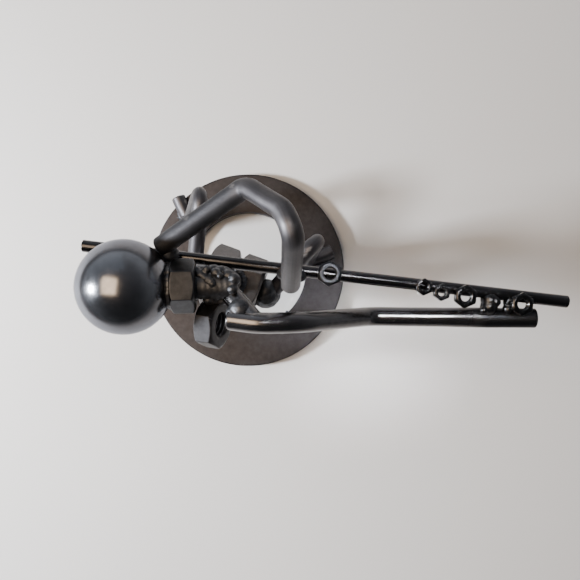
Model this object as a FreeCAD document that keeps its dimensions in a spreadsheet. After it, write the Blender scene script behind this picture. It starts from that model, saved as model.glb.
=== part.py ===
import FreeCAD, Part
import math
import os
import Sketcher

# A flute player made of a steel ball, bent rods, hexagon nuts and threaded studs, all welded together on a
# flat washer. Millimetres, +Z up. The origin is the centre of the washer's underside. +X is the side that
# the flute points to, and +Y is the side that the figure faces.

# ---------------------------------------------------------------- driving dimensions

SIZES = {
    "washer_outer_diameter": 68.0,
    "washer_hole_diameter": 41.0,
    "washer_thickness": 4.0,
    "washer_edge_radius": 0.4,
    "leg_diameter": 4.8,
    "arm_diameter": 4.8,
    "ball_diameter": 22.0,
    "hip_nut_width": 17.0,
    "hip_nut_thickness": 8.1,
    "hip_nut_bore": 10.0,
    "hip_nut_gap": 1.0,
    "hip_angle": -20.0,
    "hip_stud_diameter": 9.8,
    "hip_stud_left_overhang": 1.8,
    "hip_stud_right_overhang": 0.6,
    "spine_diameter": 6.3,
    "shoulder_stud_diameter": 6.3,
    "neck_nut_width": 11.1,
    "neck_nut_thickness": 5.8,
    "neck_nut_bore": 6.7,
    "neck_nut_offset": 10.5,
    "shoulder_nut_width": 11.0,
    "shoulder_nut_thickness": 4.8,
    "shoulder_nut_bore": 6.0,
    "nut_face_ratio": 0.95,
    "nut_mouth_depth": 0.35,
    "thigh_overhang": 1.2,
    "foot_bead_size": 6.0,
    "foot_bead_sink": 0.7,
    "left_hip_bead_size": 8.6,
    "right_hip_bead_size": 9.8,
    "trunk_bead_size": 5.6,
    "hip_bead_inset": 1.2,
    "ring_bead_size": 2.4,
    "spine_ring_radius": 3.45,
    "spine_ring_lift": 0.3,
    "neck_ring_radius": 4.2,
    "neck_ring_offset": 10.4,
    "small_bead_size": 2.8,
    "bridge_bead_size": 4.4,
    "left_hand_bead_size": 3.4,
    "right_hand_bead_size": 4.4,
    "hand_bead_run": 1.6,
    "hand_bead_inset": 1.8,
    "mouth_bead_run": 1.4,
    "flute_diameter": 3.0,
    "large_key_width": 5.5,
    "middle_key_width": 5.0,
    "small_key_width": 3.7,
    "large_key_bore": 3.0,
    "middle_key_bore": 2.6,
    "small_key_bore": 2.0,
    "key_thickness": 2.0,
    "knee_bend_radius": 3.5,
    "heel_bend_radius": 3.0,
    "elbow_bend_radius": 3.0,
    "forearm_bend_radius": 6.0,
    "slight_bend_radius": 15.0,
}

# Places of the figure's joints, where the centre lines of its pieces end or change direction.
PLACES = {
    "hip_middle": (-2.3, -4.5, 32.5),
    "left_knee": (-11.0, 22.6, 41.5),
    "left_heel": (-20.3, 16.4, 6.4),
    "left_toe": (-24.3, 25.5, 6.4),
    "right_knee": (23.3, 8.3, 41.8),
    "right_heel": (20.6, 2.9, 6.4),
    "right_toe": (29.6, 6.6, 6.4),
    "spine_top": (-3.2, -5.5, 77.3),
    "head_centre": (-23.1, -6.3, 79.0),
    "shoulder_end": (2.6, -5.9, 76.8),
    "shoulder_nut_centre": (-3.6, -15.0, 72.1),
    "left_shoulder": (-15.8, 3.1, 75.0),
    "left_elbow": (5.2, 15.7, 85.0),
    "left_forearm": (13.4, 9.5, 93.0),
    "left_wrist": (15.6, 4.4, 96.0),
    "left_fingertip": (15.0, -5.8, 71.2),
    "right_shoulder": (0.8, -13.7, 80.0),
    "right_arm_top": (7.7, -14.5, 81.5),
    "right_arm_bend": (17.1, -14.4, 80.0),
    "right_elbow": (35.2, -13.7, 64.3),
    "right_fingertip": (75.4, -13.95, 68.7),
    "strut_start": (0.6, -7.6, 76.0),
    "strut_end": (6.9, -14.2, 80.8),
    "flute_start": (-35.8, 3.8, 69.8),
    "flute_end": (82.7, -9.9, 69.8),
    "spine_top_bead_start": (-4.8, -4.1, 74.1),
    "spine_top_bead_end": (-1.2, -3.9, 73.9),
    "shoulder_nut_bead": (-3.2, -8.6, 74.3),
    "left_shoulder_bead": (-14.1, 1.4, 73.5),
    "right_shoulder_bead": (3.4, -11.5, 79.8),
    "mouth_bead": (-23.1, 1.5, 71.2),
    "left_hand_bead": (15.2, -3.4, 70.8),
}

# Each key nut: its place along the flute, how far it sits towards the figure's back, and its size.
KEYS = (
    (60.6, -0.1, "large"),
    (83.4, 0.5, "small"),
    (87.8, 1.3, "small"),
    (93.6, 1.6, "middle"),
    (107.3, 1.9, "middle"),
)

# The shoulder nut's axis, and the direction of the corner that is welded to the shoulder stud.
SHOULDER_NUT_AXIS = FreeCAD.Vector(0.928, -0.111, 0.355)
SHOULDER_NUT_CORNER = FreeCAD.Vector(0.03, 0.974, 0.225)

# Each foot's bead: the shares of the way from heel to toe where it starts and ends.
FOOT_BEADS = {"left": (0.15, 0.5), "right": (0.4, 0.75)}

# The two beads that hold the right hand: the distance along the flute, and the size.
RIGHT_HAND_BEADS = ((100.3, "right_hand_bead_size"), (105.0, "small_bead_size"))

UP = FreeCAD.Vector(0, 0, 1)

doc = FreeCAD.newDocument("flute_player")
sheet = doc.addObject("Spreadsheet::Sheet", "dimensions")
pieces = {}


def fill_sheet():
    """Write every driving dimension into the sheet as a plain number with an alias."""
    rows = dict(SIZES)
    for name, point in PLACES.items():
        for axis, value in zip("xyz", point):
            rows[f"{name}_{axis}"] = value
    for row, (alias, value) in enumerate(rows.items(), start=1):
        sheet.set(f"A{row}", alias)
        sheet.set(f"B{row}", str(value))
        sheet.setAlias(f"B{row}", alias)
    doc.recompute()


def size(alias):
    return float(sheet.get(alias))


def place(name):
    return FreeCAD.Vector(*(size(f"{name}_{axis}") for axis in "xyz"))


def unit(vector):
    return FreeCAD.Vector(vector).normalize()


def facing(origin, direction, corner=UP):
    """Placement at origin whose local Z is direction and whose local X turns towards corner."""
    axis = unit(direction)
    if abs(axis.dot(unit(corner))) > 0.99:
        corner = FreeCAD.Vector(1, 0, 0)
    side = unit(FreeCAD.Vector(corner) - axis * axis.dot(corner))
    return FreeCAD.Placement(origin, FreeCAD.Rotation(side, axis.cross(side), axis, "ZXY"))


def bind(feature, **expressions):
    for name, expression in expressions.items():
        feature.setExpression(name, expression)


def keep(label, feature):
    """Make a feature one of the figure's pieces."""
    feature.Label = label
    pieces[label] = feature
    return feature


# ---------------------------------------------------------------- building blocks


def cylinder(name, diameter, length):
    solid = doc.addObject("Part::Cylinder", name)
    bind(solid, Radius=f"dimensions.{diameter} / 2", Height=length)
    return solid


def cone(name, lower_radius, upper_radius, height, base="0"):
    solid = doc.addObject("Part::Cone", name)
    bind(solid, Radius1=lower_radius, Radius2=upper_radius, Height=height)
    solid.setExpression("Placement.Base.z", base)
    return solid


def stud(name, diameter, start, end):
    """A straight round bar from one point to another."""
    solid = doc.addObject("Part::Cylinder", name)
    bind(solid, Radius=f"dimensions.{diameter} / 2")
    solid.Height = (end - start).Length
    solid.Placement = facing(start, end - start)
    return solid


def cut(name, base, tools):
    """Take each tool out of base in turn."""
    for number, tool in enumerate(tools, start=1):
        result = doc.addObject("Part::Cut", f"{name}_cut_{number}")
        result.Base = base
        result.Tool = tool
        base = result
    return base


def bead(label, ends, diameter, neighbours):
    """A weld bead: a ball, or a round-ended bar between two points, less its neighbours' own space."""
    lumps = []
    for number, centre in enumerate(ends, start=1):
        lump = doc.addObject("Part::Sphere", f"{label}_end_{number}")
        bind(lump, Radius=f"dimensions.{diameter} / 2")
        lump.Placement.Base = centre
        lumps.append(lump)
    if len(ends) == 2:
        lumps.append(stud(f"{label}_bar", diameter, *ends))
        body = doc.addObject("Part::MultiFuse", f"{label}_body")
        body.Shapes = lumps
        body.Refine = True
    else:
        body = lumps[0]
    return keep(label, cut(label, body, [pieces[name] for name in neighbours]))


def ring_bead(label, centre, axis, ring_radius, neighbours):
    """A weld bead that runs all the way round a bar."""
    ring = doc.addObject("Part::Torus", f"{label}_ring")
    bind(ring, Radius1=f"dimensions.{ring_radius}", Radius2="dimensions.ring_bead_size / 2")
    ring.Placement = facing(centre, axis)
    return keep(label, cut(label, ring, [pieces[name] for name in neighbours]))


def hexagon_nut(label, width, thickness, bore, placement):
    """A hexagon nut whose local Z is its axis, with turned corners and a countersunk bore."""
    height, mouth = f"dimensions.{thickness}", "dimensions.nut_mouth_depth"
    prism = doc.addObject("Part::Prism", f"{label}_prism")
    prism.Polygon = 6
    bind(prism, Circumradius=f"dimensions.{width} / 2 / cos(30 deg)", Height=height)
    face_radius = f"dimensions.{width} / 2 * dimensions.nut_face_ratio"
    wide_radius = f"{face_radius} + {height} / tan(30 deg)"
    body = doc.addObject("Part::MultiCommon", f"{label}_body")
    body.Shapes = [prism, cone(f"{label}_upper_turning", wide_radius, face_radius, height),
                   cone(f"{label}_lower_turning", face_radius, wide_radius, height)]
    bore_radius = f"dimensions.{bore} / 2"
    mouth_radius = f"{bore_radius} + {mouth}"
    tools = [cone(f"{label}_lower_mouth", mouth_radius, bore_radius, mouth),
             cone(f"{label}_upper_mouth", bore_radius, mouth_radius, mouth, f"{height} - {mouth}"),
             cylinder(f"{label}_hole", bore, height)]
    nut = cut(label, body, tools)
    nut.Placement = placement
    return keep(label, nut)


def bent_rod(name, diameter, points, radii):
    """A round rod along straight runs joined by tangent bends, with one bend radius for each corner."""
    edges = []
    start = points[0]
    for before, corner, after, radius in zip(points, points[1:], points[2:], radii):
        back, ahead = unit(before - corner), unit(after - corner)
        half = back.getAngle(ahead) / 2
        trim = size(radius) / math.tan(half)
        middle = corner + unit(back + ahead) * (size(radius) / math.sin(half) - size(radius))
        edges.append(Part.LineSegment(start, corner + back * trim).toShape())
        start = corner + ahead * trim
        edges.append(Part.Arc(corner + back * trim, middle, start).toShape())
    edges.append(Part.LineSegment(start, points[-1]).toShape())
    path = doc.addObject("Part::Feature", f"{name}_path")
    path.Shape = Part.Wire(edges)
    section = doc.addObject("Part::Circle", f"{name}_section")
    bind(section, Radius=f"dimensions.{diameter} / 2")
    section.Placement = facing(points[0], points[1] - points[0])
    sweep = doc.addObject("Part::Sweep", f"{name}_sweep")
    sweep.Sections = [section]
    sweep.Spine = (path, [f"Edge{number + 1}" for number in range(len(edges))])
    sweep.Solid = True
    return sweep


# ---------------------------------------------------------------- stand and hips


def make_washer():
    body = doc.addObject("PartDesign::Body", "washer_body")
    plane = next(item for item in body.Origin.OriginFeatures if item.Role == "XY_Plane")
    sketch = body.newObject("Sketcher::SketchObject", "washer_sketch")
    sketch.AttachmentSupport = (plane, "")
    sketch.MapMode = "FlatFace"
    for diameter in ("washer_outer_diameter", "washer_hole_diameter"):
        circle = sketch.addGeometry(Part.Circle(FreeCAD.Vector(), UP, size(diameter) / 2))
        sketch.addConstraint(Sketcher.Constraint("Coincident", circle, 3, -1, 1))
        number = sketch.addConstraint(Sketcher.Constraint("Diameter", circle, size(diameter)))
        sketch.setExpression(f"Constraints[{number}]", f"dimensions.{diameter}")
    pad = body.newObject("PartDesign::Pad", "washer_pad")
    pad.Profile = sketch
    bind(pad, Length="dimensions.washer_thickness")
    doc.recompute()
    hole_radius = size("washer_hole_diameter") / 2
    rims = [f"Edge{number}" for number, edge in enumerate(pad.Shape.Edges, start=1)
            if isinstance(edge.Curve, Part.Circle) and edge.Curve.Radius > hole_radius + 1]
    rounding = body.newObject("PartDesign::Fillet", "washer_rounding")
    rounding.Base = (pad, rims)
    bind(rounding, Radius="dimensions.washer_edge_radius")
    keep("base_washer", body)


def hip_point(offset):
    """A point on the hip axis, offset from the gap between the two nuts towards the right leg."""
    angle = math.radians(size("hip_angle"))
    return place("hip_middle") + FreeCAD.Vector(math.cos(angle), math.sin(angle), 0) * offset


def make_hips():
    axis = hip_point(1) - hip_point(0)
    half_gap, thickness = size("hip_nut_gap") / 2, size("hip_nut_thickness")
    nuts_end = half_gap + thickness
    for side, offset in (("left", -nuts_end), ("right", half_gap)):
        level_corner = facing(hip_point(offset), axis, axis.cross(UP))
        hexagon_nut(f"{side}_hip_nut", "hip_nut_width", "hip_nut_thickness", "hip_nut_bore", level_corner)
    left_end = nuts_end + size("hip_stud_left_overhang")
    right_end = nuts_end + size("hip_stud_right_overhang")
    keep("hip_stud", stud("hip_stud_bar", "hip_stud_diameter", hip_point(-left_end), hip_point(right_end)))
    return left_end + size("leg_diameter") / 2, right_end + size("leg_diameter") / 2


def make_leg(side, offset):
    """One leg from beyond the hip stud's end over the knee and down to the foot on the washer."""
    hip, knee = hip_point(offset), place(f"{side}_knee")
    beyond_hip = hip - unit(knee - hip) * size("thigh_overhang")
    points = [beyond_hip, knee, place(f"{side}_heel"), place(f"{side}_toe")]
    bar = bent_rod(f"{side}_leg", "leg_diameter", points, ["knee_bend_radius", "heel_bend_radius"])
    keep(f"{side}_leg", cut(f"{side}_leg", bar, [pieces["hip_stud"]]))


def make_lower_welds(left_offset, right_offset):
    """Beads along both sides of each foot, and the lumps that hold the thighs to the hip stud."""
    for side, shares in FOOT_BEADS.items():
        heel, toe = place(f"{side}_heel"), place(f"{side}_toe")
        ends = [heel + (toe - heel) * share for share in shares]
        for end in ends:
            end.z = size("washer_thickness") - size("foot_bead_sink")
        bead(f"{side}_foot_weld", ends, "foot_bead_size", ["base_washer", f"{side}_leg"])
    inset = size("hip_bead_inset")
    for side, offset in (("left", inset - left_offset), ("right", right_offset - inset)):
        bead(f"{side}_hip_weld", [hip_point(offset)], f"{side}_hip_bead_size",
             [f"{side}_hip_nut", "hip_stud", f"{side}_leg"])


# ---------------------------------------------------------------- trunk and head


def hip_nuts_top():
    return place("hip_middle") + UP * (size("hip_nut_width") / 2)


def make_trunk():
    head, end = place("head_centre"), place("shoulder_end")
    axis = unit(end - head)
    ball = doc.addObject("Part::Sphere", "ball")
    bind(ball, Radius="dimensions.ball_diameter / 2")
    ball.Placement.Base = head
    keep("head_ball", ball)
    shoulder_bar = stud("shoulder_bar", "shoulder_stud_diameter", head, end)
    keep("shoulder_stud", cut("shoulder_stud", shoulder_bar, [ball]))
    seat = facing(head + axis * size("neck_nut_offset"), axis, axis.cross(UP))
    hexagon_nut("neck_nut", "neck_nut_width", "neck_nut_thickness", "neck_nut_bore", seat)
    ring_bead("neck_weld", head + axis * size("neck_ring_offset"), axis, "neck_ring_radius",
              ["head_ball", "neck_nut", "shoulder_stud"])
    spine_bar = stud("spine_bar", "spine_diameter", hip_nuts_top(), place("spine_top"))
    tools = [pieces["shoulder_stud"], pieces["left_hip_nut"], pieces["right_hip_nut"]]
    keep("spine_stud", cut("spine_stud", spine_bar, tools))
    ring_bead("spine_base_weld", hip_nuts_top() + UP * size("spine_ring_lift"), UP, "spine_ring_radius",
              ["left_hip_nut", "right_hip_nut", "spine_stud"])
    bead("spine_top_weld", [place("spine_top_bead_start"), place("spine_top_bead_end")], "trunk_bead_size",
         ["spine_stud", "shoulder_stud", "neck_nut"])


def make_shoulder_nut():
    """The smaller nut behind the right shoulder, tipped up towards the right hand."""
    half = size("shoulder_nut_thickness") / 2
    seat = place("shoulder_nut_centre") - unit(SHOULDER_NUT_AXIS) * half
    hexagon_nut("shoulder_nut", "shoulder_nut_width", "shoulder_nut_thickness", "shoulder_nut_bore",
                facing(seat, SHOULDER_NUT_AXIS, SHOULDER_NUT_CORNER))
    bead("shoulder_nut_weld", [place("shoulder_nut_bead")], "bridge_bead_size",
         ["shoulder_nut", "shoulder_stud", "spine_stud"])


# ---------------------------------------------------------------- flute and arms


def make_flute():
    start, end = place("flute_start"), place("flute_end")
    bar = stud("flute_bar", "flute_diameter", start, end)
    keep("flute_rod", cut("flute_rod", bar, [pieces["head_ball"]]))
    along = unit(end - start)
    backwards = along.cross(UP)
    top = UP * (size("flute_diameter") / 2)
    for number, (distance, shift, width) in enumerate(KEYS, start=1):
        seat = start + along * distance + backwards * shift + top
        hexagon_nut(f"key_nut_{number}", f"{width}_key_width", "key_thickness", f"{width}_key_bore",
                    facing(seat, UP, backwards))


def make_arms():
    left = [place(f"left_{name}") for name in ("shoulder", "elbow", "forearm", "wrist", "fingertip")]
    bends = ["elbow_bend_radius", "forearm_bend_radius", "elbow_bend_radius"]
    left_rod = bent_rod("left_arm", "arm_diameter", left, bends)
    keep("left_arm", cut("left_arm", left_rod, [pieces["head_ball"], pieces["flute_rod"]]))
    right = [place(f"right_{name}") for name in ("shoulder", "arm_top", "arm_bend", "elbow", "fingertip")]
    bends = ["slight_bend_radius", "slight_bend_radius", "forearm_bend_radius"]
    keep("right_arm", bent_rod("right_arm", "arm_diameter", right, bends))
    strut = stud("strut_bar", "arm_diameter", place("strut_start"), place("strut_end"))
    tools = [pieces["right_arm"], pieces["shoulder_stud"]]
    keep("right_shoulder_strut", cut("right_shoulder_strut", strut, tools))


def make_arm_welds():
    start = place("flute_start")
    along = unit(place("flute_end") - start)
    backwards = along.cross(UP)
    bead("left_shoulder_weld", [place("left_shoulder_bead")], "trunk_bead_size",
         ["left_arm", "head_ball", "neck_nut", "flute_rod", "neck_weld"])
    mouth, mouth_run = place("mouth_bead"), along * size("mouth_bead_run")
    bead("mouth_weld", [mouth - mouth_run, mouth + mouth_run], "small_bead_size", ["head_ball", "flute_rod"])
    run = size("hand_bead_run")
    hand, hand_run = place("left_hand_bead"), along * run
    bead("left_hand_weld", [hand - hand_run, hand + hand_run], "left_hand_bead_size",
         ["left_arm", "flute_rod"])
    for number, (distance, diameter) in enumerate(RIGHT_HAND_BEADS, start=1):
        inner = start + along * distance + backwards * size("hand_bead_inset")
        bead(f"right_hand_weld_{number}", [inner, inner + backwards * run], diameter,
             ["flute_rod", "right_arm", "key_nut_4", "key_nut_5"])
    bead("right_shoulder_weld", [place("right_shoulder_bead")], "trunk_bead_size",
         ["right_arm", "right_shoulder_strut", "shoulder_stud"])


# ---------------------------------------------------------------- checks and files


def check():
    """Stop if any feature failed or any piece is empty or not sound."""
    for item in doc.Objects:
        if {"Invalid", "Error"} & set(item.State):
            raise SystemExit(f"{item.Name} failed: {item.State}")
    for label, piece in pieces.items():
        shape = piece.Shape
        if shape.isNull() or not shape.isValid() or not shape.Solids:
            raise SystemExit(f"{label} is not a sound solid")
        print(f"{label:22s} {len(shape.Solids)} solid(s) {shape.Volume:10.2f} mm3")


def write():
    os.makedirs("parts", exist_ok=True)
    for label, piece in pieces.items():
        piece.Shape.exportStep(f"parts/{label}.step")


fill_sheet()
make_washer()
left_hip_offset, right_hip_offset = make_hips()
make_leg("left", -left_hip_offset)
make_leg("right", right_hip_offset)
make_lower_welds(left_hip_offset, right_hip_offset)
make_trunk()
make_shoulder_nut()
make_flute()
make_arms()
make_arm_welds()
doc.recompute()
check()
write()
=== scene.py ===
import math

import bmesh
import bpy
import numpy as np
from mathutils import Matrix, Vector, noise


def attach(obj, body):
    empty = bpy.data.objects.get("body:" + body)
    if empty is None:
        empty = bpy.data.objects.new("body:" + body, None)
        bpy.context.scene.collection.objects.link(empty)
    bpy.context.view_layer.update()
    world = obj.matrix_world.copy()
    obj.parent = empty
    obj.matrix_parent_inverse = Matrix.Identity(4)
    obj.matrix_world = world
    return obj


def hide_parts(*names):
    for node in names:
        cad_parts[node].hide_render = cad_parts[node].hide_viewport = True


# A flute player of a steel ball, bent rods, hexagon nuts and threaded studs, welded together on a washer and
# plated in dark nickel. Shapes are worked out in millimetres and turned into metres as each mesh is made.

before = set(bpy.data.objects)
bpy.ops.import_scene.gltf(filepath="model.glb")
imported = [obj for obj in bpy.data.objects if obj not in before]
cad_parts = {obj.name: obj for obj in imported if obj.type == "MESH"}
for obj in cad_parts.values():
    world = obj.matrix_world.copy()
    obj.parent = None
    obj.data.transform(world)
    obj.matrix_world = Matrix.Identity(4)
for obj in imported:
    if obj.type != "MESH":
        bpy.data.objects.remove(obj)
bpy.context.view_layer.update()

MM = 0.001
UP = np.array((0.0, 0.0, 1.0))


def vec(*values):
    return np.array(values, float)


def unit(vector):
    return vector / np.linalg.norm(vector)


def basis(axis, corner=UP):
    """Columns x, y, z of a frame whose z is axis and whose x turns towards corner."""
    z = unit(axis)
    if abs(z @ unit(corner)) > 0.99:
        corner = vec(1, 0, 0)
    x = unit(corner - z * (z @ corner))
    return np.column_stack((x, np.cross(z, x), z))


def rumple(points, scale, seed):
    """A smooth random height between about -1 and 1 for each point; scale is in lumps per mm."""
    offset = Vector((seed, seed * 0.37, 0))
    return np.array([noise.noise(Vector(point) * scale + offset) for point in points])


def circle(angles, radius, level):
    """A point for each angle, at a radius and a level that are numbers or go with the angles."""
    return np.column_stack((radius * np.cos(angles), radius * np.sin(angles),
                            np.broadcast_to(level, angles.shape)))


# ---------------------------------------------------------------- finishes


class Finish:
    """Builds one node material. Coordinates come in millimetres."""

    def __init__(self, name):
        self.material = bpy.data.materials.new(name)
        self.material.use_nodes = True
        self.tree = self.material.node_tree
        self.shader = self.tree.nodes["Principled BSDF"]

    def node(self, kind, **settings):
        made = self.tree.nodes.new(kind)
        for key, value in settings.items():
            setattr(made, key, value)
        return made

    def link(self, source, target):
        self.tree.links.new(source, target)

    def place(self, scale=(1.0, 1.0, 1.0), attribute=None):
        """Position in mm, times scale: the object's own, or a mesh attribute that already is in mm."""
        mapping = self.node("ShaderNodeMapping")
        if attribute:
            source = self.node("ShaderNodeAttribute", attribute_name=attribute).outputs["Vector"]
            mapping.inputs["Scale"].default_value = scale
        else:
            source = self.node("ShaderNodeTexCoord").outputs["Object"]
            mapping.inputs["Scale"].default_value = tuple(part / MM for part in scale)
        self.link(source, mapping.inputs["Vector"])
        return mapping.outputs["Vector"]

    def noise(self, place, scale, detail=4.0, rough=0.55, distortion=0.0):
        made = self.node("ShaderNodeTexNoise")
        made.inputs["Scale"].default_value = scale
        made.inputs["Detail"].default_value = detail
        made.inputs["Roughness"].default_value = rough
        made.inputs["Distortion"].default_value = distortion
        self.link(place, made.inputs["Vector"])
        return made.outputs["Fac"]

    def spread(self, value, low, high, start=0.0, end=1.0):
        """value from low..high moved to start..end, without going past them."""
        made = self.node("ShaderNodeMapRange")
        for key, number in (("From Min", low), ("From Max", high), ("To Min", start), ("To Max", end)):
            made.inputs[key].default_value = number
        self.link(value, made.inputs["Value"])
        return made.outputs["Result"]

    def sums(self, operation, first, second):
        made = self.node("ShaderNodeMath", operation=operation)
        for socket, value in zip(made.inputs, (first, second)):
            if isinstance(value, (int, float)):
                socket.default_value = value
            else:
                self.link(value, socket)
        return made.outputs["Value"]

    def blend(self, amount, first, second):
        """A colour between first and second."""
        made = self.node("ShaderNodeMix", data_type="RGBA")
        factor, start, end = made.inputs[0], made.inputs[6], made.inputs[7]
        self.link(amount, factor)
        for socket, value in ((start, first), (end, second)):
            if isinstance(value, tuple):
                socket.default_value = value + (1.0,)
            else:
                self.link(value, socket)
        return made.outputs[2]

    def finish(self, colour, roughness, height, depth):
        """Joins the parts to the shader; depth is the relief's full height in mm."""
        self.link(colour, self.shader.inputs["Base Color"])
        self.link(roughness, self.shader.inputs["Roughness"])
        bump = self.node("ShaderNodeBump")
        bump.inputs["Distance"].default_value = depth * MM
        self.link(height, bump.inputs["Height"])
        self.link(bump.outputs["Normal"], self.shader.inputs["Normal"])
        return self.material


STAIN_SHARE, STREAK_SHARE = 0.55, 0.45
GRAIN_SCALE = 1.7
# Colour and added roughness of the painted shade laid over part of a rod.
SHADE_BAND_COLOUR, SHADE_BAND_ROUGHNESS = (0.016, 0.018, 0.021), 0.2


def metal(name, dark, light, wear, roughness, depth, streaks, attribute=None, streak_weight=0.5,
          stain_scale=0.09, wear_edge=(0.52, 0.60), tint=None, shade_band=None):
    """Dark plated steel: cloudy stains, fine grain, drawn streaks, and another tone where edges are worn.

    streaks is how fine they are along x, y and z, and depth is the relief in mm. A band (start, end, amount)
    of painted shade darkens and dulls a rod's colour from start to end, in mm along the rod."""
    made = Finish(name)
    made.shader.inputs["Metallic"].default_value = 1.0
    if tint:
        made.shader.inputs["Specular Tint"].default_value = tint + (1.0,)
    body = made.place()
    drawn = made.place(streaks, attribute)
    stain = made.spread(made.noise(body, stain_scale, detail=5.0, rough=0.6, distortion=0.4), 0.34, 0.68)
    grain = made.noise(body, GRAIN_SCALE, detail=6.0, rough=0.62)
    streak = made.noise(drawn, 1.0, detail=5.0, rough=0.6)
    tone = made.sums("ADD", made.sums("MULTIPLY", stain, STAIN_SHARE),
                     made.spread(streak, 0.35, 0.7, 0.0, STREAK_SHARE))
    colour = made.blend(tone, dark, light)
    edges = made.node("ShaderNodeNewGeometry").outputs["Pointiness"]
    worn = made.sums("MULTIPLY", made.spread(edges, *wear_edge), made.spread(grain, 0.35, 0.65, 0.35, 1.0))
    colour = made.blend(worn, colour, wear)
    low, high = roughness
    varied = made.sums("ADD", made.spread(grain, 0.3, 0.7, low, (low + high) / 2),
                       made.spread(stain, 0.0, 1.0, 0.0, (high - low) / 2))
    # Painted shade: from start to end along the rod, the colour goes darker and the roughness higher.
    if shade_band:
        along = made.node("ShaderNodeSeparateXYZ")
        made.link(made.place(attribute=attribute), along.inputs["Vector"])
        start, end, amount = shade_band
        shade_amount = made.spread(along.outputs["Z"], start, end, 0.0, amount)
        colour = made.blend(shade_amount, colour, SHADE_BAND_COLOUR)
        varied = made.sums("ADD", varied, made.sums("MULTIPLY", shade_amount, SHADE_BAND_ROUGHNESS))
    height = made.sums("ADD", made.sums("MULTIPLY", streak, streak_weight),
                       made.sums("MULTIPLY", grain, 1 - streak_weight))
    return made.finish(colour, varied, height, depth)


BALL_FINISH = metal(
    "ball_nickel", dark=(0.14, 0.145, 0.158), light=(0.235, 0.24, 0.262), wear=(0.17, 0.17, 0.18),
    roughness=(0.15, 0.24), depth=0.003, streaks=(0.25, 0.25, 0.25), stain_scale=0.14,
    tint=(0.66, 0.67, 0.71))
WASHER_FINISH = metal(
    "washer_gunmetal", dark=(0.032, 0.031, 0.035), light=(0.060, 0.058, 0.064), wear=(0.30, 0.27, 0.26),
    roughness=(0.36, 0.56), depth=0.02, streaks=(0.5, 0.5, 0.5), stain_scale=0.05)
NUT_FINISH = metal(
    "nut_gunmetal", dark=(0.085, 0.081, 0.083), light=(0.150, 0.143, 0.145), wear=(0.26, 0.25, 0.245),
    roughness=(0.30, 0.48), depth=0.018, streaks=(0.8, 0.8, 0.8), stain_scale=0.12)
KEY_FINISH = metal(
    "key_nickel", dark=(0.026, 0.026, 0.028), light=(0.060, 0.060, 0.062), wear=(0.26, 0.255, 0.255),
    roughness=(0.14, 0.26), depth=0.006, streaks=(1.2, 1.2, 1.2), stain_scale=0.3)
THREAD_FINISH = metal(
    "stud_gunmetal", dark=(0.023, 0.025, 0.030), light=(0.054, 0.057, 0.065), wear=(0.24, 0.235, 0.235),
    roughness=(0.28, 0.48), depth=0.01, streaks=(0.6, 0.6, 0.6), stain_scale=0.2)
# The shoulder nut's finish is a darker, duller copy of the nut finish: painted shade, so that its faces show
# less of the window's reflection.
SHOULDER_SHADED_FINISH = metal(
    "shoulder_shaded_gunmetal", dark=(0.032, 0.032, 0.035), light=(0.062, 0.062, 0.067), wear=(0.16, 0.158, 0.158),
    roughness=(0.46, 0.60), depth=0.014, streaks=(0.8, 0.8, 0.8), stain_scale=0.15)

# Rods carry streaks along their length, and each arm's colour is darkened over part of it as painted shade.
ROD_STREAKS = dict(streaks=(1.6, 1.6, 0.05), attribute="grain", streak_weight=0.7)
LIMB_LOOK = dict(dark=(0.068, 0.066, 0.072), light=(0.118, 0.115, 0.124), wear=(0.26, 0.25, 0.25),
                 roughness=(0.42, 0.58), depth=0.004, **ROD_STREAKS)
NICKEL_LOOK = dict(dark=(0.105, 0.102, 0.106), light=(0.175, 0.170, 0.175), wear=(0.26, 0.25, 0.25),
                   roughness=(0.18, 0.27), depth=0.003, **ROD_STREAKS)
LIMB_FINISH = metal("limb_gunmetal", **LIMB_LOOK)
# Painted shade on both arms: the left arm is darkened over its first 22 mm from the shoulder, fading out by
# 28 mm. The right arm is darkened from 63.5 mm on, fully by 68.5 mm, to its end at the hand.
LEFT_ARM_FINISH = metal("left_arm_gunmetal", shade_band=(28.0, 22.0, 0.62), **LIMB_LOOK)
ARM_FINISH = metal("arm_nickel", shade_band=(63.5, 68.5, 0.9), **NICKEL_LOOK)
ROD_FINISH = metal("rod_nickel", **NICKEL_LOOK)

FLUTE_FINISH = metal(
    "flute_gunmetal", dark=(0.036, 0.036, 0.039), light=(0.078, 0.076, 0.080), wear=(0.24, 0.23, 0.23),
    roughness=(0.19, 0.29), depth=0.003, streaks=(2.2, 2.2, 0.06), attribute="grain", streak_weight=0.7)
WELD_FINISH = metal(
    "weld_metal", dark=(0.056, 0.059, 0.066), light=(0.118, 0.122, 0.134), wear=(0.22, 0.22, 0.22),
    roughness=(0.42, 0.60), depth=0.01, streaks=(1.5, 1.5, 1.5), stain_scale=0.35, wear_edge=(0.56, 0.70))
# A darker copy of the weld finish for the right hand's beads: painted shade for the gap between flute and
# arm where they sit.
SHADED_WELD_FINISH = metal(
    "shaded_weld_metal", dark=(0.026, 0.027, 0.029), light=(0.070, 0.070, 0.073), wear=(0.34, 0.335, 0.33),
    roughness=(0.24, 0.40), depth=0.01, streaks=(1.5, 1.5, 1.5), stain_scale=0.35, wear_edge=(0.58, 0.72))


# ---------------------------------------------------------------- meshes


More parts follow.
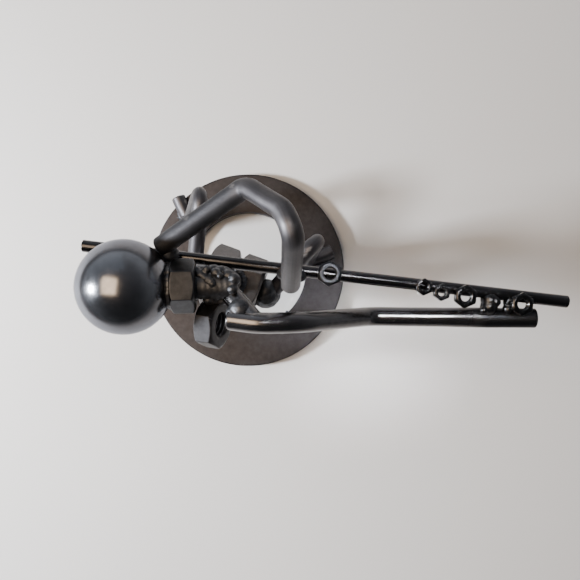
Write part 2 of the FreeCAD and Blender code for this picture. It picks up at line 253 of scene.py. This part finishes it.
def piece(name, node, points, faces, finish, grain=None, weighted=False):
    """One piece of the object in place of a CAD node, from points in mm."""
    mesh = bpy.data.meshes.new(name)
    mesh.from_pydata((np.asarray(points) * MM).tolist(), [], faces)
    mesh.polygons.foreach_set("use_smooth", np.ones(len(mesh.polygons), bool))
    if grain is not None:
        mesh.attributes.new("grain", "FLOAT_VECTOR", "POINT").data.foreach_set("vector", np.ravel(grain))
    mesh.materials.append(finish)
    made = bpy.data.objects.new(name, mesh)
    bpy.context.scene.collection.objects.link(made)
    if weighted:
        made.modifiers.new("flat_faces", "WEIGHTED_NORMAL").weight = 50
    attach(made, "root")
    if node:
        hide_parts(node)


def grid_faces(rings, sides, closed=False):
    """Quads between neighbouring rings of the same number of points."""
    faces = []
    for ring in range(rings if closed else rings - 1):
        here, there = ring * sides, (ring + 1) % rings * sides
        for side in range(sides):
            turn = (side + 1) % sides
            faces.append((here + side, here + turn, there + turn, there + side))
    return faces


def close_ends(points, faces, rings, sides):
    """Adds a middle point to the first and the last ring."""
    first, last = len(points), len(points) + 1
    middles = [np.mean(points[:sides], 0), np.mean(points[(rings - 1) * sides:rings * sides], 0)]
    base = (rings - 1) * sides
    for side in range(sides):
        turn = (side + 1) % sides
        faces.append((first, turn, side))
        faces.append((last, base + side, base + turn))
    return np.vstack((points, middles)), faces


def centre_line(corners, radii, step=0.45):
    """Points along straight runs that are joined by tangent arcs."""
    def run(start, end):
        count = max(2, round(np.linalg.norm(end - start) / step))
        return [start + (end - start) * k / count for k in range(count)]

    corners = [np.array(corner, float) for corner in corners]
    start, path = corners[0], []
    for before, corner, after, radius in zip(corners, corners[1:], corners[2:], radii):
        back, ahead = unit(before - corner), unit(after - corner)
        half = math.acos(np.clip(back @ ahead, -1, 1)) / 2
        trim = radius / math.tan(half)
        centre = corner + unit(back + ahead) * radius / math.sin(half)
        outward, sweep = unit(corner + back * trim - centre), math.pi - 2 * half
        path += run(start, corner + back * trim)
        count = max(4, round(sweep * radius / step))
        path += [centre + radius * (outward * math.cos(turn) - back * math.sin(turn))
                 for turn in np.linspace(0, sweep, count, endpoint=False)]
        start = corner + ahead * trim
    return np.array(path + run(start, corners[-1]) + [corners[-1]])


SIDEWAYS_BULGE = 0.45


def rod(name, node, path, radius, finish, edge=0.45, seed=0.0, presses=(), sides=48):
    """A round bar along path with rounded, slightly uneven cut ends.

    Each press is (distance along, reach, amount, direction): the bar is squeezed there along direction."""
    steps = np.linalg.norm(np.diff(path, axis=0), axis=1)
    along = np.concatenate(((0,), np.cumsum(steps)))
    total = along[-1]
    tangents = np.gradient(path, along, axis=0)
    side = basis(tangents[0])[:, 0]
    normals = []
    for tangent in tangents:
        side = unit(side - unit(tangent) * (unit(tangent) @ side))
        normals.append(side)
    turns = np.linspace(0, math.pi / 2, 6)
    cap = [(0.0, radius * share) for share in (0.3, 0.65)]
    cap += [(edge * (1 - math.cos(turn)), radius - edge + edge * math.sin(turn)) for turn in turns]
    middle = [(place, radius) for place in along if edge * 1.4 < place < total - edge * 1.4]
    stations = cap + middle + [(total - place, size) for place, size in reversed(cap)]
    angles = np.arange(sides) * 2 * math.pi / sides
    points, grain = [], []
    for place, size in stations:
        centre, tangent, normal = (np.array([np.interp(place, along, column[:, k]) for k in range(3)])
                                   for column in (path, tangents, np.array(normals)))
        tangent, normal = unit(tangent), unit(normal)
        other = np.cross(tangent, normal)
        ring = size * (np.cos(angles)[:, None] * normal + np.sin(angles)[:, None] * other)
        for where, reach, amount, direction in presses:
            pinch = amount * math.exp(-((place - where) / reach) ** 2)
            flat = unit(direction - tangent * (tangent @ direction))
            inward = (ring @ flat)[:, None] * flat
            ring = (ring - inward) * (1 + SIDEWAYS_BULGE * pinch) + inward * (1 - pinch)
        points.append(centre + ring)
        grain.append(circle(angles, radius, place))
    count = len(stations)
    points, grain = np.vstack(points), np.vstack(grain)
    centres = np.repeat([np.mean(points[k * sides:(k + 1) * sides], 0) for k in range(count)], sides, axis=0)
    swell = 0.010 * rumple(points, 0.22, seed) + 0.006 * rumple(points, 0.9, seed + 9)
    points = centres + (points - centres) * (1 + swell)[:, None]
    ends = np.array([place in (0.0, total) for place, _ in stations]).repeat(sides)
    points[ends] += (unit(path[1] - path[0]) * 0.05) * rumple(points[ends], 0.8, seed + 3)[:, None]
    points, faces = close_ends(points, grid_faces(count, sides), count, sides)
    grain = np.vstack((grain, (0, 0, 0), (0, 0, total)))
    piece(name, node, points, faces, finish, grain)


STUD_THREAD_STEPS, NUT_THREAD_STEPS = 14, 12
CREST_END, FLANK = 0.86, 0.62


def thread_depth(phase, depth):
    """How far the thread is cut in at a phase from 0 to 1: flat crest, sloping flanks, flat root."""
    away = np.abs((phase % 1.0) - 0.5) * 2
    return depth * np.clip((CREST_END - away) / FLANK, 0, 1)


def threaded_stud(name, node, start, end, radius, pitch, finish, seed=0.0, sides=72, cut_share=0.58):
    """A chamfered stud from start to end, whose thread is cut_share of its pitch deep."""
    start, end = np.array(start, float), np.array(end, float)
    frame_axes, length = basis(end - start), np.linalg.norm(end - start)
    depth, chamfer = pitch * cut_share, pitch * 0.6
    levels = np.linspace(0, length, max(8, round(length / pitch * STUD_THREAD_STEPS)))
    angles = np.arange(sides) * 2 * math.pi / sides
    rings = [(0.0, share * (radius - chamfer)) for share in (0.35, 0.7)]
    rings += [(level, None) for level in levels] + [(length, size) for _, size in reversed(rings)]
    points = []
    for level, size in rings:
        if size is None:
            cut = radius - thread_depth(level / pitch - angles / (2 * math.pi), depth)
            sizes = np.minimum(cut, radius - chamfer + min(level, length - level))
        else:
            sizes = np.full(sides, size)
        points.append(circle(angles, sizes, level))
    points = np.vstack(points) @ frame_axes.T + start
    points += 0.02 * rumple(points, 0.8, seed)[:, None] * unit(np.cross(end - start, vec(0.3, 0.5, 0.9)))
    points, faces = close_ends(points, grid_faces(len(rings), sides), len(rings), sides)
    piece(name, node, points, faces, finish)


def hexagon_radius(angles, width, rounding):
    """Distance from the axis to a hexagon whose corners are rounded; a corner is at angle 0."""
    off = np.abs((angles + math.pi / 6) % (math.pi / 3) - math.pi / 6)
    flat = width / 2 / np.cos(math.pi / 6 - off)
    centre = (width / 2 - rounding) / math.cos(math.pi / 6)
    touch = math.atan2(rounding / 2, centre + rounding * math.cos(math.pi / 6))
    inside = np.maximum(rounding ** 2 - (centre * np.sin(off)) ** 2, 0)
    return np.where(off <= touch, centre * np.cos(off) + np.sqrt(inside), flat)


def bend(start, corner, end, count=3):
    """Points of a small rounding between start and end, without them."""
    shares = np.linspace(0, 1, count + 2)[1:-1]
    return [(1 - t) ** 2 * start + 2 * t * (1 - t) * corner + t * t * end for t in shares]


def hexagon_nut(name, node, seat, axis, corner, width, height, bore, pitch, finish=NUT_FINISH, seed=0.0,
                face_share=0.95):
    """A nut with a turned face, chamfered corners, rounded edges and a threaded bore."""
    half, slope = height / 2, math.tan(math.pi / 6)
    rounding, edge, mouth = width * 0.022, width * 0.016, width * 0.03
    near = np.array((0, 0.6, 1.2, 1.8, 2.4, 3.2, 4.5))
    sector = np.concatenate((near, np.arange(7, 54, 3.6), 60 - near[:0:-1]))
    angles = np.radians(np.concatenate([sector + 60 * k for k in range(6)]))
    outer = hexagon_radius(angles, width, rounding)
    face, hole = width / 2 * face_share, bore / 2
    depth = pitch * 0.5

    def ring(radius, level):
        return np.broadcast_to(radius, outer.shape), np.broadcast_to(level, outer.shape)

    def upper():
        shoulder = half - (outer - face) * slope
        yield ring(hole + mouth, half)
        yield ring(hole + mouth + edge, half)
        yield ring((hole + mouth + face) / 2, half)
        yield ring(face - edge, half)
        yield ring(face, half - 0.18 * edge)
        yield ring(face + edge, half - edge * slope - 0.1 * edge)
        before = np.stack((outer - edge, shoulder + edge * slope))
        after = np.stack((outer, shoulder - edge))
        yield tuple(before)
        for point in bend(before, np.stack((outer, shoulder)), after):
            yield tuple(point)
        yield tuple(after)
        yield outer, shoulder - 2 * edge

    top = list(upper())
    profile = top + [(radius, -level) for radius, level in reversed(top)]
    steps = max(6, round((height - 2 * mouth) / pitch * NUT_THREAD_STEPS))
    levels = np.linspace(-half + mouth, half - mouth, steps)
    for level in levels:
        fade = min(1.0, (half - mouth - abs(level)) / (pitch * 0.5) + 0.15)
        cut = thread_depth(level / pitch - angles / (2 * math.pi), depth * fade)
        profile.append(ring(hole + cut - depth * 0.35 * fade, level))
    points = np.vstack([circle(angles, radius, level + half) for radius, level in profile])
    points = points @ basis(axis, corner).T + np.array(seat, float)
    points += 0.025 * rumple(points, 0.45, seed)[:, None] * unit(vec(0.5, 0.6, 0.7))
    faces = [tuple(reversed(one)) for one in grid_faces(len(profile), len(angles), closed=True)]
    piece(name, node, points, faces, finish, weighted=True)


WELD_VOXEL = 0.16


def weld(name, node, balls, seed, rough=0.15, finish=WELD_FINISH, melt_steps=5):
    """A lump of weld metal: balls (centre, radius) melted together, with a skin uneven by about rough mm."""
    shape = bmesh.new()
    for centre, radius in balls:
        place = Matrix.Translation(Vector(centre))
        bmesh.ops.create_icosphere(shape, subdivisions=3, radius=radius, matrix=place)
    mesh = bpy.data.meshes.new(name + "_balls")
    shape.to_mesh(mesh)
    shape.free()
    melt = bpy.data.objects.new(name + "_balls", mesh)
    bpy.context.scene.collection.objects.link(melt)
    remesh = melt.modifiers.new("melt", "REMESH")
    remesh.mode, remesh.voxel_size = "VOXEL", WELD_VOXEL
    smooth = melt.modifiers.new("smooth", "SMOOTH")
    smooth.factor, smooth.iterations = 0.5, melt_steps
    skin = melt.evaluated_get(bpy.context.evaluated_depsgraph_get()).to_mesh()
    points = np.array([vertex.co for vertex in skin.vertices])
    normals = np.array([vertex.normal for vertex in skin.vertices])
    faces = [tuple(polygon.vertices) for polygon in skin.polygons]
    bpy.data.objects.remove(melt)
    bpy.data.meshes.remove(mesh)
    lumps = rough * rumple(points, 0.5, seed) + rough * 0.4 * rumple(points, 1.5, seed + 5)
    piece(name, node, points + normals * lumps[:, None], faces, finish)


def uneven_ball(draws, centre, radius, shift, uneven):
    """A ball that is moved at random by about shift mm and resized by up to a share of its radius."""
    centre = centre + draws.normal(0, shift, 3)
    return centre, radius * (1 + draws.uniform(-uneven, uneven))


def chain(start, end, radius, count, seed, uneven=0.10):
    """Balls in a row from start to end, as a bead is laid drop by drop."""
    start, end = np.array(start, float), np.array(end, float)
    draws = np.random.default_rng(seed)
    shares = (np.arange(count) + 0.5) / count
    return [uneven_ball(draws, start + (end - start) * share, radius, 0.06, uneven) for share in shares]


def loop(centre, axis, ring_radius, radius, count, seed):
    """Balls in a ring round an axis."""
    draws = np.random.default_rng(seed)
    axes = basis(axis)
    spokes = [vec(ring_radius * math.cos(turn), ring_radius * math.sin(turn), 0)
              for turn in np.linspace(0, 2 * math.pi, count, endpoint=False)]
    return [uneven_ball(draws, np.array(centre) + axes @ spoke, radius, 0.07, 0.12) for spoke in spokes]


# ---------------------------------------------------------------- stand and hips

WASHER_HOLE, WASHER_OUTER, WASHER_TOP = 20.5, 33.99, 4.0
HIP_MIDDLE = vec(-2.3, -4.5, 32.5)
HIP_TURN = math.radians(-20)
HIP_AXIS = vec(math.cos(HIP_TURN), math.sin(HIP_TURN), 0)
HIP_WIDTH, HIP_THICKNESS, HIP_GAP, HIP_BORE, HIP_PITCH = 17.0, 8.1, 1.0, 10.0, 1.5
HIP_STUD_RADIUS, HIP_STUD_LEFT, HIP_STUD_RIGHT = 4.85, 1.8, 0.6


def make_washer():
    """A flat ring with rolled outer edges, a crisp hole and a faintly uneven skin with small nicks."""
    sides = 360
    outer_edge, hole_edge = 0.45, 0.22
    corners = [(WASHER_OUTER, WASHER_TOP, outer_edge), (WASHER_OUTER, 0.0, outer_edge),
               (WASHER_HOLE, 0.0, hole_edge), (WASHER_HOLE, WASHER_TOP, hole_edge)]
    profile = []
    for number, (radius, level, edge) in enumerate(corners):
        here = vec(radius, level)
        before = vec(*corners[number - 1][:2])
        after = vec(*corners[(number + 1) % 4][:2])
        start, end = here + unit(before - here) * edge, here + unit(after - here) * edge
        profile += [start] + bend(start, here, end, 4) + [end]
        steps = max(2, round(np.linalg.norm(after - here) / 1.1))
        flat = after - here - 2 * edge * unit(after - here)
        profile += [end + flat * k / steps for k in range(1, steps)]
    angles = np.arange(sides) * 2 * math.pi / sides
    points = np.vstack([circle(angles, radius, level) for radius, level in profile])
    reach = np.hypot(points[:, 0], points[:, 1])
    top = points[:, 2] > WASHER_TOP / 2
    points[:, 2] -= np.where(top, 0.03 + 0.03 * rumple(points, 0.12, 4) + 0.012 * rumple(points, 0.7, 8), 0)
    rims = np.minimum(np.abs(reach - WASHER_OUTER), np.abs(reach - WASHER_HOLE)) < 0.3
    nicks = np.clip(rumple(points, 0.55, 21) - 0.35, 0, 1) * np.where(rims & top, 0.5, 0)
    points[:, 2] -= nicks
    points[:, :2] *= (1 - 0.0012 * np.clip(rumple(points, 0.4, 30), 0, 1) * (reach > 30))[:, None]
    faces = grid_faces(len(profile), sides, closed=True)
    piece("washer_stand", "base_washer", points, faces, WASHER_FINISH, weighted=True)


def hip_point(offset):
    return HIP_MIDDLE + HIP_AXIS * offset


def make_hips():
    nuts_end = HIP_GAP / 2 + HIP_THICKNESS
    for side, offset, seed in (("left", -nuts_end, 1.5), ("right", HIP_GAP / 2, 7.5)):
        hexagon_nut(f"{side}_hip_hexagon", f"{side}_hip_nut", hip_point(offset), HIP_AXIS,
                    np.cross(HIP_AXIS, UP), HIP_WIDTH, HIP_THICKNESS, HIP_BORE, HIP_PITCH, seed=seed)
    threaded_stud("hip_thread", "hip_stud", hip_point(-nuts_end - HIP_STUD_LEFT),
                  hip_point(nuts_end + HIP_STUD_RIGHT), HIP_STUD_RADIUS, HIP_PITCH, THREAD_FINISH, seed=2.0)


# Each leg: its place along the hip stud, knee, heel, toe, the stretch of foot that is welded, and a seed.
LEGS = {
    "left": (-12.8, (-11.0, 22.6, 41.5), (-20.3, 16.4, 6.4), (-24.3, 25.5, 6.4), (0.15, 0.5), 3.0),
    "right": (11.6, (23.3, 8.3, 41.8), (20.6, 2.9, 6.4), (29.6, 6.6, 6.4), (0.4, 0.75), 11.0),
}
LIMB_RADIUS = 2.4
FOOT_BEAD_RADIUS, FOOT_BEAD_BALLS, FOOT_BEAD_SHIFT = 1.15, 6, 2.0


def make_legs():
    for side, (offset, knee, heel, toe, shares, seed) in LEGS.items():
        hip, knee, heel, toe = hip_point(offset), np.array(knee), np.array(heel), np.array(toe)
        path = centre_line([hip - unit(knee - hip) * 1.2, knee, heel, toe], [3.5, 3.0])
        knee_along = np.linalg.norm(knee - hip) + 0.2
        heel_along = knee_along + np.linalg.norm(heel - knee) - 2.5
        presses = ((knee_along, 2.0, 0.10, unit(np.cross(knee - hip, heel - knee))),
                   (heel_along, 1.8, 0.08, unit(np.cross(heel - knee, toe - heel))))
        rod(f"{side}_leg_rod", f"{side}_leg", path, LIMB_RADIUS, LIMB_FINISH, seed=seed, presses=presses)
        forward = unit(toe - heel)
        across = np.cross(forward, UP)
        balls = []
        for number, sign in enumerate((-1, 1)):
            start, end = (heel + (toe - heel) * share + across * sign * FOOT_BEAD_SHIFT for share in shares)
            start[2] = end[2] = WASHER_TOP + 0.25
            balls += chain(start, end, FOOT_BEAD_RADIUS, FOOT_BEAD_BALLS, int(seed) + number)
        weld(f"{side}_foot_bead", f"{side}_foot_weld", balls, seed)
    left, right = hip_point(-11.6), hip_point(10.4)
    weld("left_hip_bead", "left_hip_weld",
         [(left, 4.0), (left + vec(0.6, 1.2, 1.6), 3.0), (left + vec(0.2, 0.8, -1.8), 2.9),
          (left + vec(1.0, -1.4, 1.0), 2.6)], 14.0)
    weld("right_hip_bead", "right_hip_weld",
         [(right, 4.6), (right + vec(0.3, 1.0, 1.8), 3.3), (right + vec(0.8, -0.8, -1.2), 3.2),
          (right + vec(-1.0, 1.6, -1.2), 3.0)], 15.0)


# ---------------------------------------------------------------- trunk and head

HEAD, SHOULDER_END = vec(-23.1, -6.3, 79.0), vec(2.6, -5.9, 76.8)
SHOULDER_AXIS = unit(SHOULDER_END - HEAD)
HEAD_RADIUS = 11.0
STUD_RADIUS, STUD_PITCH = 3.15, 1.27
NECK_WIDTH, NECK_THICKNESS, NECK_BORE = 11.1, 5.8, 6.7
SHOULDER_NUT_MIDDLE, SHOULDER_NUT_AXIS = vec(-3.6, -15.0, 72.1), vec(0.928, -0.111, 0.355)
SHOULDER_NUT_CORNER = vec(0.03, 0.974, 0.225)
SHOULDER_NUT_WIDTH, SHOULDER_NUT_THICKNESS, SHOULDER_NUT_BORE, SHOULDER_NUT_PITCH = 11.0, 4.8, 6.0, 1.0
HIP_TOP = HIP_MIDDLE + UP * HIP_WIDTH / 2
SPINE_TOP = vec(-3.2, -5.5, 77.3)


def make_head():
    """The plain ball, with the faint waves that polishing leaves."""
    shape = bmesh.new()
    bmesh.ops.create_icosphere(shape, subdivisions=7, radius=1.0)
    points = np.array([vertex.co for vertex in shape.verts])
    faces = [tuple(vertex.index for vertex in face.verts) for face in shape.faces]
    shape.free()
    points /= np.linalg.norm(points, axis=1)[:, None]
    waves = 0.010 * (rumple(points, 2.2, 40) - 1) + 0.003 * rumple(points, 7.0, 44)
    piece("head_sphere", "head_ball", HEAD + points * (HEAD_RADIUS + waves)[:, None], faces, BALL_FINISH)


def make_trunk():
    threaded_stud("spine_thread", "spine_stud", HIP_TOP + UP * 0.02, SPINE_TOP - UP * 3.0, STUD_RADIUS,
                  STUD_PITCH, THREAD_FINISH, seed=5.0)
    start = HEAD + SHOULDER_AXIS * (HEAD_RADIUS - 0.4)
    threaded_stud("shoulder_thread", "shoulder_stud", start, SHOULDER_END, STUD_RADIUS, STUD_PITCH,
                  WELD_FINISH, seed=6.0, cut_share=0.03)
    # The neck nut takes the darker stud finish as painted shade, dimming the room's reflection on its
    # upturned faces.
    hexagon_nut("neck_hexagon", "neck_nut", HEAD + SHOULDER_AXIS * 10.5, SHOULDER_AXIS,
                np.cross(SHOULDER_AXIS, UP), NECK_WIDTH, NECK_THICKNESS, NECK_BORE, STUD_PITCH,
                finish=THREAD_FINISH, seed=21.0)
    seat = SHOULDER_NUT_MIDDLE - unit(SHOULDER_NUT_AXIS) * SHOULDER_NUT_THICKNESS / 2
    # The shoulder nut is given its darker finish as painted shade.
    hexagon_nut("shoulder_hexagon", "shoulder_nut", seat, SHOULDER_NUT_AXIS, SHOULDER_NUT_CORNER,
                SHOULDER_NUT_WIDTH, SHOULDER_NUT_THICKNESS, SHOULDER_NUT_BORE, SHOULDER_NUT_PITCH,
                finish=SHOULDER_SHADED_FINISH, seed=25.0)
    weld("spine_base_bead", "spine_base_weld", loop(HIP_TOP + UP * 0.3, UP, 3.5, 1.1, 24, 50), 16.0)
    lumps = [((-4.8, -4.1, 74.1), 2.7), ((-1.2, -3.9, 73.9), 2.7), ((-3.0, -3.0, 76.0), 2.0),
             ((-1.2, -2.9, 77.2), 1.6), ((-5.2, -2.7, 77.6), 1.4), ((-4.3, -2.3, 79.2), 0.9),
             ((-2.1, -3.0, 79.2), 1.1), ((-1.1, -3.8, 79.8), 0.9), ((0.4, -4.0, 75.6), 1.6),
             ((0.8, -3.6, 78.2), 1.5), ((2.0, -4.6, 79.0), 1.5), ((1.6, -6.8, 79.4), 1.3)]
    bead = chain((-7.0, -2.6, 78.6), (-2.6, -5.7, 79.9), 1.15, 9, 54, uneven=0.04)
    weld("spine_top_bead", "spine_top_weld", lumps + bead, 17.0, rough=0.2, melt_steps=16)
    ring = loop(HEAD + SHOULDER_AXIS * 10.4, SHOULDER_AXIS, 4.2, 1.15, 34, 52)
    weld("neck_bead", "neck_weld", ring, 18.0)
    weld("shoulder_nut_bead", "shoulder_nut_weld",
         [((-3.2, -8.6, 74.3), 2.1), ((-2.4, -8.0, 76.3), 1.5), ((-4.4, -9.2, 75.2), 1.4),
          ((-1.2, -9.2, 74.9), 1.5)], 19.0)


# ---------------------------------------------------------------- flute and arms

FLUTE_START, FLUTE_END, FLUTE_RADIUS = vec(-35.8, 3.8, 69.8), vec(82.7, -9.9, 69.8), 1.5
FLUTE_AXIS = unit(FLUTE_END - FLUTE_START)
BACKWARDS = np.cross(FLUTE_AXIS, UP)
MOUTH, LEFT_HAND = vec(-23.1, 1.5, 71.2), vec(15.2, -3.4, 70.8)
RIGHT_HAND_BEADS, RIGHT_HAND_SHIFT = (100.3, 105.0), 1.8
KEY_THICKNESS, KEY_PITCH = 2.0, 0.5
# Each key nut: how far along the flute, how far behind its axis, width across flats, and bore.
KEYS = ((60.6, -0.1, 5.5, 3.0), (83.4, 0.5, 3.7, 2.0), (87.8, 1.3, 3.7, 2.0), (93.6, 1.6, 5.0, 2.6),
        (107.3, 1.9, 5.0, 2.6))


def make_flute():
    rod("flute_bar", "flute_rod", centre_line([FLUTE_START, FLUTE_END], []), FLUTE_RADIUS, FLUTE_FINISH,
        edge=0.25, seed=33.0, sides=40)
    for number, (distance, shift, width, bore) in enumerate(KEYS, start=1):
        seat = FLUTE_START + FLUTE_AXIS * distance + BACKWARDS * shift + UP * FLUTE_RADIUS
        # Key nut 1 takes the darker stud finish as painted shade, so that it shows less of the strip light's
        # reflection.
        hexagon_nut(f"key_hexagon_{number}", f"key_nut_{number}", seat, UP, BACKWARDS, width, KEY_THICKNESS,
                    bore, KEY_PITCH, finish=THREAD_FINISH if number == 1 else KEY_FINISH, seed=60.0 + number,
                    face_share=0.86)


LEFT_ARM = ((-15.8, 3.1, 75.0), (5.2, 15.7, 85.0), (13.4, 9.5, 93.0), (15.6, 4.4, 96.0), (15.0, -5.8, 71.2))
LEFT_ARM_BENDS = (3.0, 6.0, 3.0)
RIGHT_ARM = ((0.8, -13.7, 80.0), (7.7, -14.5, 81.5), (17.1, -14.4, 80.0), (35.2, -13.7, 64.3),
             (75.4, -13.95, 68.7))
RIGHT_ARM_BENDS = (15.0, 15.0, 6.0)
RIGHT_STRUT = ((0.6, -7.6, 76.0), (6.9, -14.2, 80.8))


def make_arms():
    rod("left_arm_rod", "left_arm", centre_line(LEFT_ARM, LEFT_ARM_BENDS), LIMB_RADIUS, LEFT_ARM_FINISH,
        seed=41.0, presses=((26.0, 2.2, 0.10, vec(0.3, 0.4, 0.9)), (33.0, 4.0, 0.07, vec(0.3, 0.5, 0.8))))
    rod("right_arm_rod", "right_arm", centre_line(RIGHT_ARM, RIGHT_ARM_BENDS), LIMB_RADIUS, ARM_FINISH,
        seed=47.0, presses=((67.0, 7.0, 0.10, UP),))
    rod("right_strut_rod", "right_shoulder_strut", centre_line(RIGHT_STRUT, []), LIMB_RADIUS, ROD_FINISH,
        seed=53.0)
    weld("left_shoulder_bead", "left_shoulder_weld",
         [((-14.1, 1.4, 73.5), 2.6), ((-13.4, 2.4, 74.6), 1.6), ((-15.6, 0.6, 73.4), 1.5)], 61.0)
    weld("mouth_bead", "mouth_weld",
         chain(MOUTH - FLUTE_AXIS * 2.0, MOUTH + FLUTE_AXIS * 2.0, 1.35, 4, 62), 62.0)
    weld("left_hand_bead", "left_hand_weld",
         chain(LEFT_HAND - FLUTE_AXIS * 2.6, LEFT_HAND + FLUTE_AXIS * 2.6, 1.55, 5, 63), 63.0)
    large, small = (FLUTE_START + FLUTE_AXIS * along + BACKWARDS * RIGHT_HAND_SHIFT
                    for along in RIGHT_HAND_BEADS)
    # Both right-hand beads take the darker weld finish as painted shade.
    weld("right_hand_bead_1", "right_hand_weld_1",
         [(large, 2.15), (large + BACKWARDS * 1.6, 2.15),
          (large - FLUTE_AXIS * 1.5 + BACKWARDS * 2.6 + UP * 1.2, 0.95),
          (large + FLUTE_AXIS * 1.2 + BACKWARDS * 0.2 + UP * 0.9, 1.3)], 71.0, rough=0.06,
         finish=SHADED_WELD_FINISH)
    weld("right_hand_bead_2", "right_hand_weld_2",
         [(small, 1.35), (small + BACKWARDS * 1.6, 1.35), (small - BACKWARDS * 0.6 + UP * 0.9, 0.8)], 72.0,
         rough=0.06, finish=SHADED_WELD_FINISH)
    weld("right_shoulder_bead", "right_shoulder_weld",
         [((3.4, -11.5, 79.8), 2.6), ((2.0, -12.4, 80.2), 1.8), ((4.6, -11.0, 78.6), 1.6)], 65.0)


def make_spatter():
    """Small beads of weld metal that stuck to the washer beside the welds."""
    drops = (((13.8, -14.8), 0.55), ((-9.9, 18.3), 0.5), ((-21.5, 13.0), 0.35), ((-24.8, 18.6), 0.28),
             ((21.4, 8.2), 0.4), ((26.6, 1.2), 0.3), ((-26.4, -10.2), 0.22), ((12.2, -22.5), 0.24))
    shape = bmesh.new()
    for (x, y), radius in drops:
        made = bmesh.ops.create_icosphere(shape, subdivisions=3, radius=radius,
                                          matrix=Matrix.Translation((x, y, WASHER_TOP + radius * 0.1)))
        bmesh.ops.scale(shape, vec=(1.0, 1.0, 0.7), verts=made["verts"],
                        space=Matrix.Translation((-x, -y, -WASHER_TOP)))
    points = np.array([vertex.co for vertex in shape.verts])
    faces = [tuple(vertex.index for vertex in face.verts) for face in shape.faces]
    shape.free()
    piece("spatter_beads", None, points, faces, WELD_FINISH)


make_washer()
make_hips()
make_legs()
make_head()
make_trunk()
make_flute()
make_arms()
make_spatter()

# ---------------------------------------------------------------- floor, light and camera


FLOOR_SIZE = 6.0


def make_floor():
    made = Finish("pale_floor")
    place = made.place()
    cloud = made.spread(made.noise(place, 0.004, 2.0, 0.5), 0.3, 0.7)
    tooth = made.noise(place, 0.9, 5.0, 0.6)
    colour = made.blend(cloud, (0.70, 0.69, 0.685), (0.74, 0.74, 0.745))
    floor_finish = made.finish(colour, made.spread(tooth, 0.3, 0.7, 0.5, 0.62), tooth, 0.01)
    bpy.ops.mesh.primitive_plane_add(size=FLOOR_SIZE)
    floor = bpy.context.object
    floor.name = "floor"
    floor.data.materials.append(floor_finish)


def area_light(name, place, target, size, power, colour):
    lamp = bpy.data.lights.new(name, "AREA")
    lamp.shape, lamp.size, lamp.size_y = "RECTANGLE", size[0], size[1]
    lamp.energy, lamp.color = power, colour
    made = bpy.data.objects.new(name, lamp)
    made.location = place
    made.rotation_euler = (Vector(target) - Vector(place)).to_track_quat("-Z", "Y").to_euler()
    bpy.context.scene.collection.objects.link(made)
    return made


BRIGHT_SIDE, DIMMEST, BRIGHTEST = (-0.20, 0.98, 0.0), 0.12, 1.45


def make_world():
    """A dim room: palest at eye level and below, dark overhead, and brighter behind than in front."""
    world = bpy.data.worlds.new("room")
    world.use_nodes = True
    tree = world.node_tree
    sky = tree.nodes["Background"]
    coords = tree.nodes.new("ShaderNodeTexCoord")
    split = tree.nodes.new("ShaderNodeSeparateXYZ")
    ramp = tree.nodes.new("ShaderNodeValToRGB")
    stops = ramp.color_ramp.elements
    stops[0].position, stops[0].color = 0.0, (0.52, 0.53, 0.55, 1)
    stops[1].position, stops[1].color = 1.0, (0.14, 0.14, 0.15, 1)
    for position, colour in ((0.3, (0.36, 0.365, 0.38, 1)), (0.7, (0.15, 0.15, 0.16, 1))):
        stops.new(position).color = colour
    side = tree.nodes.new("ShaderNodeVectorMath")
    side.operation = "DOT_PRODUCT"
    side.inputs[1].default_value = BRIGHT_SIDE
    falloff = tree.nodes.new("ShaderNodeMapRange")
    for key, number in (("From Min", -1.0), ("From Max", 1.0), ("To Min", DIMMEST), ("To Max", BRIGHTEST)):
        falloff.inputs[key].default_value = number
    tree.links.new(coords.outputs["Generated"], split.inputs["Vector"])
    tree.links.new(coords.outputs["Generated"], side.inputs[0])
    tree.links.new(side.outputs["Value"], falloff.inputs["Value"])
    tree.links.new(falloff.outputs["Result"], sky.inputs["Strength"])
    tree.links.new(split.outputs["Z"], ramp.inputs["Fac"])
    tree.links.new(ramp.outputs["Color"], sky.inputs["Color"])
    bpy.context.scene.world = world


make_floor()
make_world()
BALL_PLACE, FOREARM_PLACE = (-0.023, -0.006, 0.079), (0.041, -0.0137, 0.067)
area_light("window", place=(-0.318, -0.029, 0.2265), target=BALL_PLACE, size=(0.058, 0.058), power=3.9,
           colour=(0.93, 0.965, 1.0))
area_light("lamp", place=(-0.175, 0.006, 0.50), target=BALL_PLACE, size=(0.30, 0.27), power=1.8,
           colour=(1.0, 0.74, 0.49))
area_light("key", place=(-0.60, 0.80, 0.70), target=(0, 0, 0), size=(1.7, 1.3), power=1.6,
           colour=(0.76, 0.88, 1.0))
strip = area_light("strip", place=(0.041, 0.026, 0.25), target=FOREARM_PLACE, size=(0.044, 0.036),
                   power=0.0062, colour=(0.97, 0.98, 1.0))
strip.data.spread = math.radians(12)

CAMERA_PLACE, CAMERA_LENS, SENSOR = vec(14.87, -7.01, 216.5), 37.24, 36.0
camera = bpy.data.objects.new("camera", bpy.data.cameras.new("camera"))
camera.location = Vector(CAMERA_PLACE * MM)
camera.data.lens, camera.data.sensor_width = CAMERA_LENS, SENSOR
camera.data.clip_start, camera.data.clip_end = 0.01, 10.0
bpy.context.scene.collection.objects.link(camera)
bpy.context.scene.camera = camera
